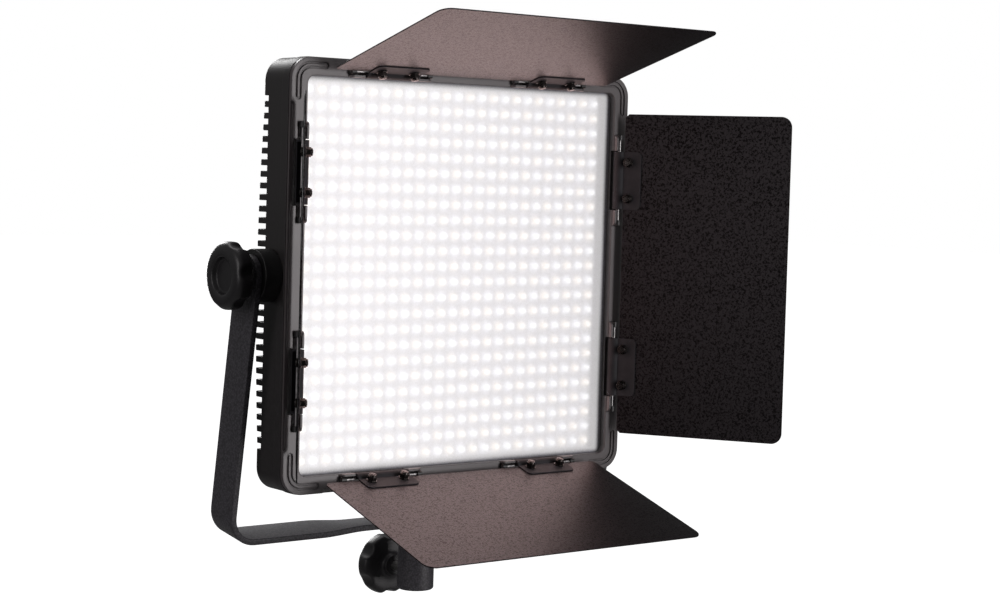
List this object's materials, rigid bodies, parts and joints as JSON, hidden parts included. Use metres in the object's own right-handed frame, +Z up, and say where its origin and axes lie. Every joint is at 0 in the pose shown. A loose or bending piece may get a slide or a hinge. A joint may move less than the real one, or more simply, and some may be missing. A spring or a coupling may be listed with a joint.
{
  "type": "led panel light",
  "caption": "Square LED panel light head with four folding barn doors, hung in a U-shaped yoke with clamp knobs and a spigot socket.",
  "frame": {"origin": "centre of the mouth of the stand socket", "axes": "+X to the right seen from the lit side's back, +Z up along the stand spigot, -Y the way the light shines"},
  "size_m": [0.4767, 0.2525, 0.4753],
  "materials": {
    "bezel_plastic": "satin moulded plastic",
    "housing_plastic": "fine moulded texture",
    "leaf_paint": "fine speckled powder coat",
    "bracket_paint": "satin black coat, worn at the edges",
    "yoke_paint": "textured powder coat",
    "clamp_plastic": "satin nylon",
    "knob_plastic": "fine matt",
    "rocker_plastic": "smooth",
    "diffuser_plastic": "frosted, translucent",
    "led_board": "white solder mask",
    "led_cool": "clear epoxy lens, lit",
    "led_warm": "clear epoxy lens, lit",
    "bare_aluminium": "mill finish",
    "circuit_board": "green solder mask",
    "copper_winding": "enamelled wire",
    "capacitor_sleeve": "shrink sleeve",
    "control_film": "matt film",
    "display_plastic": "clear gloss",
    "socket_metal": "black",
    "contact_brass": "plated",
    "zinc_steel": "zinc plated",
    "rod_steel": "drawn wire",
    "door_screw_steel": "darkened zinc",
    "black_screw": "black oxide"
  },
  "bodies": {
    "yoke": {"yoke": "yoke_paint", "arm_washers": "zinc_steel", "stand_socket": "yoke_paint", "socket_bolt": "black_screw"},
    "head": {"front_bezel": "bezel_plastic", "diffuser_sheet": "diffuser_plastic", "cool_leds": "led_cool", "warm_leds": "led_warm", "led_board": "led_board", "heat_spreader": "bare_aluminium", "middle_frame": "housing_plastic", "rear_housing": "housing_plastic", "housing_screws": "black_screw", "pivot_blocks": "bare_aluminium", "pivot_spacers": "knob_plastic", "driver_board": "circuit_board", "driver_coils": "copper_winding", "driver_capacitors": "capacitor_sleeve", "control_board": "circuit_board", "control_plate": "control_film", "display_window": "display_plastic", "potentiometers": "zinc_steel", "power_switch_body": "knob_plastic", "dc_inlet": "socket_metal", "dc_inlet_pins": "contact_brass", "battery_plate": "housing_plastic", "battery_contacts": "contact_brass", "battery_plate_screws": "zinc_steel", "release_spring": "zinc_steel", "hinge_rods": "rod_steel", "hinge_bearings": "knob_plastic"},
    "top_door": {"top_leaf": "leaf_paint", "top_brackets": "bracket_paint", "top_screws": "door_screw_steel"},
    "right_door": {"right_leaf": "leaf_paint", "right_brackets": "bracket_paint", "right_screws": "door_screw_steel"},
    "bottom_door": {"bottom_leaf": "leaf_paint", "bottom_brackets": "bracket_paint", "bottom_screws": "door_screw_steel"},
    "left_door": {"left_leaf": "leaf_paint", "left_brackets": "bracket_paint", "left_screws": "door_screw_steel"},
    "left_tilt_knob": {"left_tilt_knob": "clamp_plastic", "left_tilt_stud": "zinc_steel"},
    "right_tilt_knob": {"right_tilt_knob": "clamp_plastic", "right_tilt_stud": "zinc_steel"},
    "stand_knob": {"stand_knob": "clamp_plastic", "stand_screw": "zinc_steel"},
    "brightness_knob": {"brightness_knob": "knob_plastic"},
    "colour_knob": {"colour_knob": "knob_plastic"},
    "power_rocker": {"power_rocker": "rocker_plastic"},
    "battery_release": {"battery_release": "rocker_plastic"}
  },
  "joints": [
    {"name": "head_tilt", "type": "hinge", "parent": "yoke", "child": "head", "pos_m": [0, -0.03235, 0.26468], "axis": [-1, 0, 0], "range_deg": [-25, 90]},
    {"name": "top_door_fold", "type": "hinge", "parent": "head", "child": "top_door", "pos_m": [0, -0.05955, 0.42258], "axis": [-1, 0, 0], "range_deg": [-105.2, 68.8]},
    {"name": "right_door_fold", "type": "hinge", "parent": "head", "child": "right_door", "pos_m": [0.1597, -0.05955, 0.26468], "axis": [0, 0, 1], "range_deg": [-111.8, 53.2]},
    {"name": "bottom_door_fold", "type": "hinge", "parent": "head", "child": "bottom_door", "pos_m": [0, -0.05955, 0.10678], "axis": [1, 0, 0], "range_deg": [-106.3, 67.7]},
    {"name": "left_door_fold", "type": "hinge", "parent": "head", "child": "left_door", "pos_m": [-0.1597, -0.05955, 0.26468], "axis": [0, 0, -1], "range_deg": [-112.5, 52.5]},
    {"name": "left_tilt_knob_turn", "type": "hinge", "parent": "head", "child": "left_tilt_knob", "pos_m": [-0.205, -0.03235, 0.26468], "axis": [-1, 0, 0], "range_deg": [0, 270]},
    {"name": "right_tilt_knob_turn", "type": "hinge", "parent": "head", "child": "right_tilt_knob", "pos_m": [0.205, -0.03235, 0.26468], "axis": [1, 0, 0], "range_deg": [0, 270]},
    {"name": "stand_knob_turn", "type": "hinge", "parent": "yoke", "child": "stand_knob", "pos_m": [0, 0.045, 0.014], "axis": [0, 1, 0], "range_deg": [0, 270]},
    {"name": "brightness_turn", "type": "hinge", "parent": "head", "child": "brightness_knob", "pos_m": [-0.092, -0.01455, 0.14668], "axis": [0, 1, 0], "range_deg": [0, 300]},
    {"name": "colour_turn", "type": "hinge", "parent": "head", "child": "colour_knob", "pos_m": [-0.06, -0.01455, 0.14668], "axis": [0, 1, 0], "range_deg": [0, 300]},
    {"name": "power_rock", "type": "hinge", "parent": "head", "child": "power_rocker", "pos_m": [0.0667, -0.02205, 0.14668], "axis": [1, 0, 0], "range_deg": [-18, 0]},
    {"name": "battery_release_press", "type": "slide", "parent": "head", "child": "battery_release", "axis": [-1, 0, 0], "range_m": [0, 0.0025], "stiffness_N_per_m": 400, "springref_m": -0.002, "deforming": ["release_spring"]}
  ]
}
